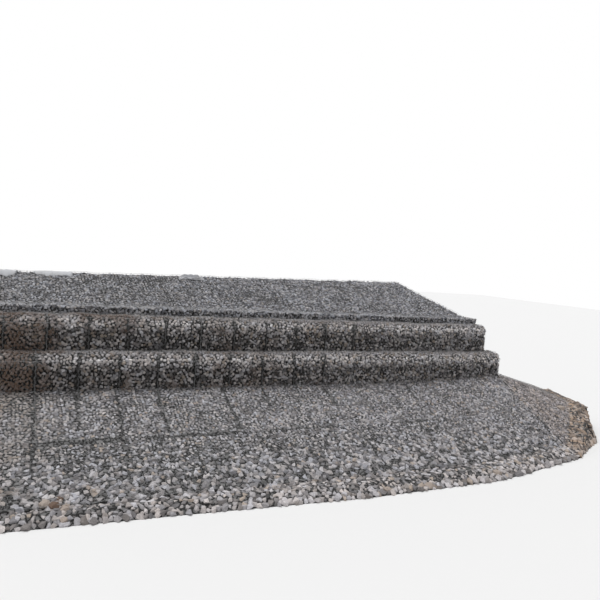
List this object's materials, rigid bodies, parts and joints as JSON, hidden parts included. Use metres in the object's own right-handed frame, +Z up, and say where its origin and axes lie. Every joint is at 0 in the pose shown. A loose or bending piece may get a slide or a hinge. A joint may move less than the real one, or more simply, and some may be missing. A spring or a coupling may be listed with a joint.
{
  "type": "gabion river-bank revetment with mattress apron",
  "caption": "Stone-filled wire gabion revetment: stepped courses of boxes, a mattress up the bank above them, a mattress apron down to a loose rock toe, and a fan round its end.",
  "frame": {"origin": "under the middle of the wall, below the face of the lower course, on the underside of the bottom course at the level of the water's edge", "axes": "+X along the wall towards the fan, +Y into the bank, +Z up"},
  "size_m": [20.2501, 8.9564, 4.6625],
  "materials": {
    "wall_stone": "rough broken stone in wire mesh",
    "buried_stone": "rough broken stone in wire mesh, soiled",
    "apron_stone": "rough pale broken stone in wire mesh",
    "bank_stone": "rough pale broken stone in wire mesh",
    "toe_stone": "loose pale rock",
    "wire": "dull galvanised wire",
    "filter_cloth": "felted non-woven cloth"
  },
  "bodies": {
    "root": {"apron_lower_mattress_1": "apron_stone", "apron_lower_mattress_2": "apron_stone", "apron_lower_mattress_3": "apron_stone", "apron_lower_mattress_4": "apron_stone", "apron_upper_mattress_1": "apron_stone", "apron_upper_mattress_2": "apron_stone", "apron_upper_mattress_3": "apron_stone", "apron_upper_mattress_4": "apron_stone", "bank_mattress_1": "bank_stone", "bank_mattress_2": "bank_stone", "bank_mattress_3": "bank_stone", "bank_mattress_4": "bank_stone", "bottom_course_box_1": "buried_stone", "bottom_course_box_2": "buried_stone", "bottom_course_box_3": "buried_stone", "bottom_course_box_4": "buried_stone", "bottom_course_box_5": "buried_stone", "cloth_fold": "filter_cloth", "fan_toe_rock_1": "toe_stone", "fan_toe_rock_2": "toe_stone", "fan_toe_rock_3": "toe_stone", "fan_wedge_1": "apron_stone", "fan_wedge_2": "apron_stone", "fan_wedge_3": "apron_stone", "filter_cloth": "filter_cloth", "footing_course_box_1": "buried_stone", "footing_course_box_2": "buried_stone", "footing_course_box_3": "buried_stone", "footing_course_box_4": "buried_stone", "lower_course_box_1": "wall_stone", "lower_course_box_2": "wall_stone", "lower_course_box_3": "wall_stone", "lower_course_box_4": "wall_stone", "lower_course_box_5": "wall_stone", "toe_rock_1": "toe_stone", "toe_rock_2": "toe_stone", "toe_rock_3": "toe_stone", "toe_rock_4": "toe_stone", "upper_course_box_1": "wall_stone", "upper_course_box_2": "wall_stone", "upper_course_box_3": "wall_stone", "upper_course_box_4": "wall_stone", "upper_course_box_5": "wall_stone"}
  },
  "joints": []
}
